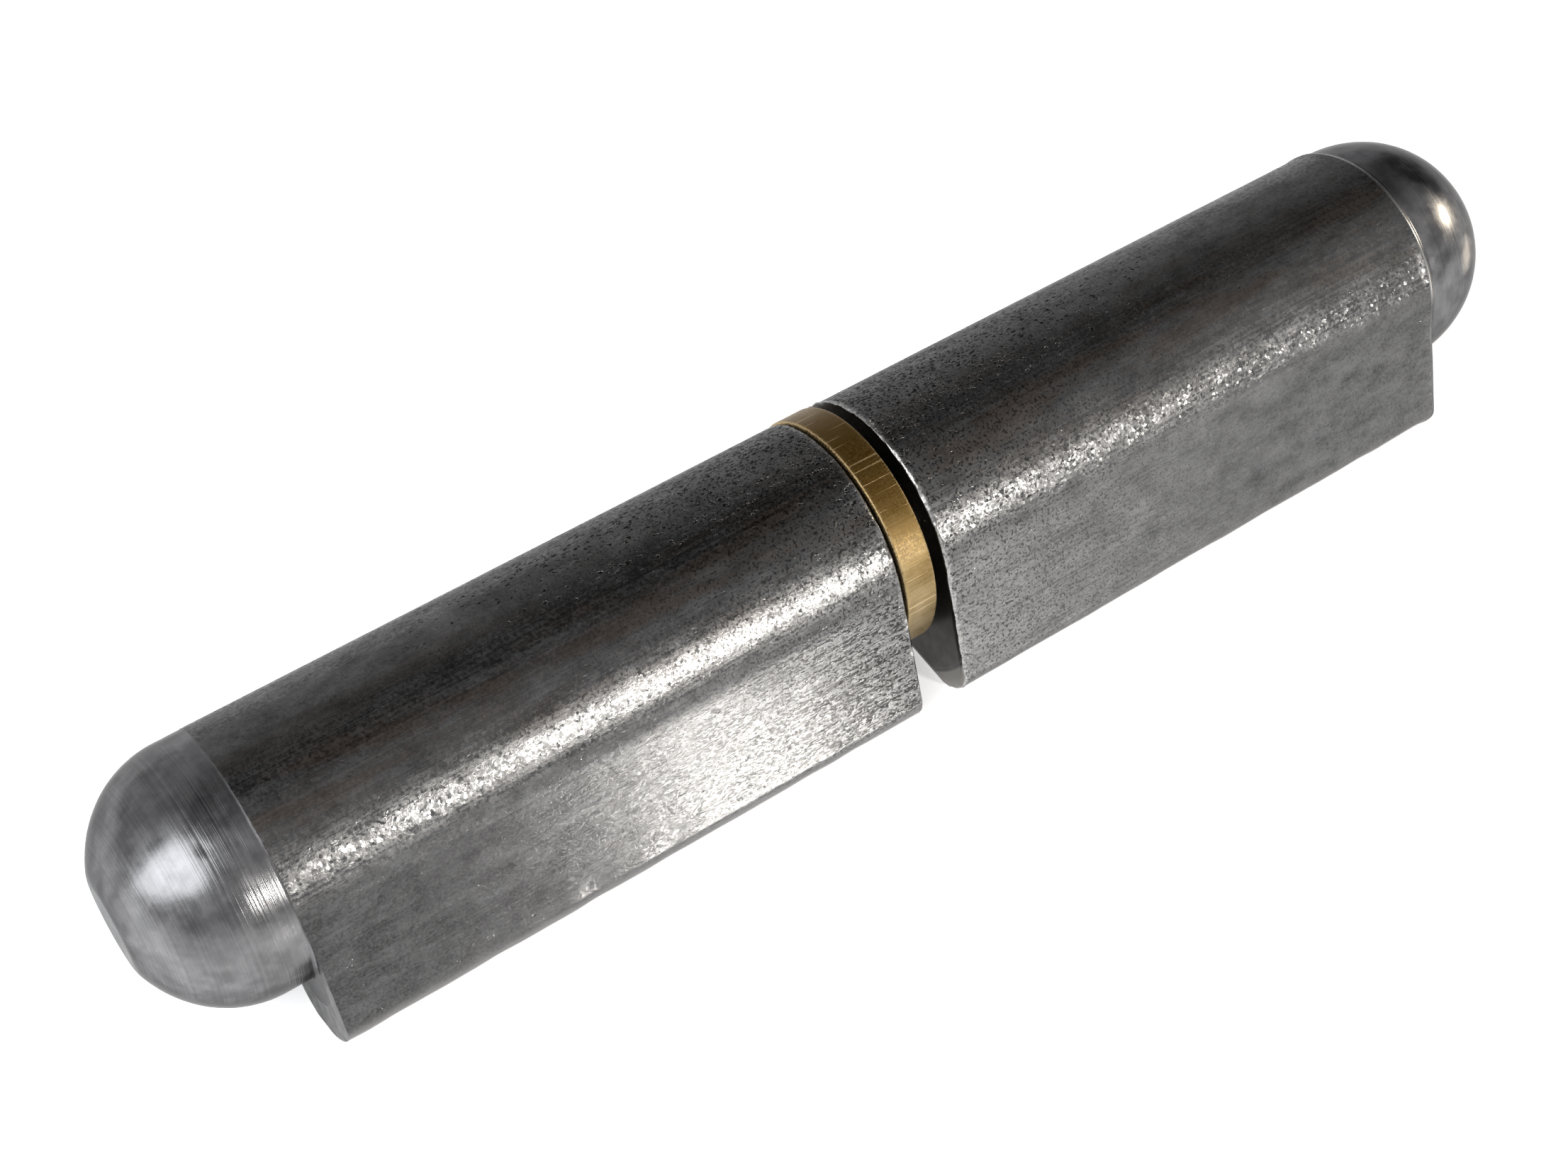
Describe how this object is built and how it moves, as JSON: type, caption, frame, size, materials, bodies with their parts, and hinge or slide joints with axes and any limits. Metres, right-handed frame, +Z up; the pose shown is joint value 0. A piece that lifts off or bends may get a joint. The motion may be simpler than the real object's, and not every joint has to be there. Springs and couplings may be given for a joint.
{
  "type": "weld-on hinge",
  "caption": "Weld-on bullet hinge of drawn teardrop steel: the door leaf swings on the frame leaf's fixed pin over a brass washer, and lifts off.",
  "frame": {"origin": "on the pin's axis at the bearing face of the frame leaf", "axes": "+X along the pin from the frame leaf to the door leaf, +Z up and square to the lower weld flanks that the hinge lies on, noses to -Y"},
  "size_m": [0.101, 0.0185, 0.016],
  "materials": {
    "drawn_steel": "bare drawn mild steel, finely pitted along the draw, with turned domes",
    "ground_steel": "bright ground steel",
    "brass": "turned brass, dulled and scored across its rim"
  },
  "bodies": {
    "frame_side": {"frame_leaf": "drawn_steel", "hinge_pin": "ground_steel"},
    "washer": {"brass_washer": "brass"},
    "door_side": {"door_leaf": "drawn_steel"}
  },
  "joints": [
    {"name": "door_swing", "type": "hinge", "parent": "frame_side", "child": "washer", "pos_m": [0, 0, 0], "axis": [1, 0, 0], "continuous": true},
    {"name": "lift_off", "type": "slide", "parent": "washer", "child": "door_side", "axis": [1, 0, 0], "range_m": [-0.0008, 0.03]}
  ]
}
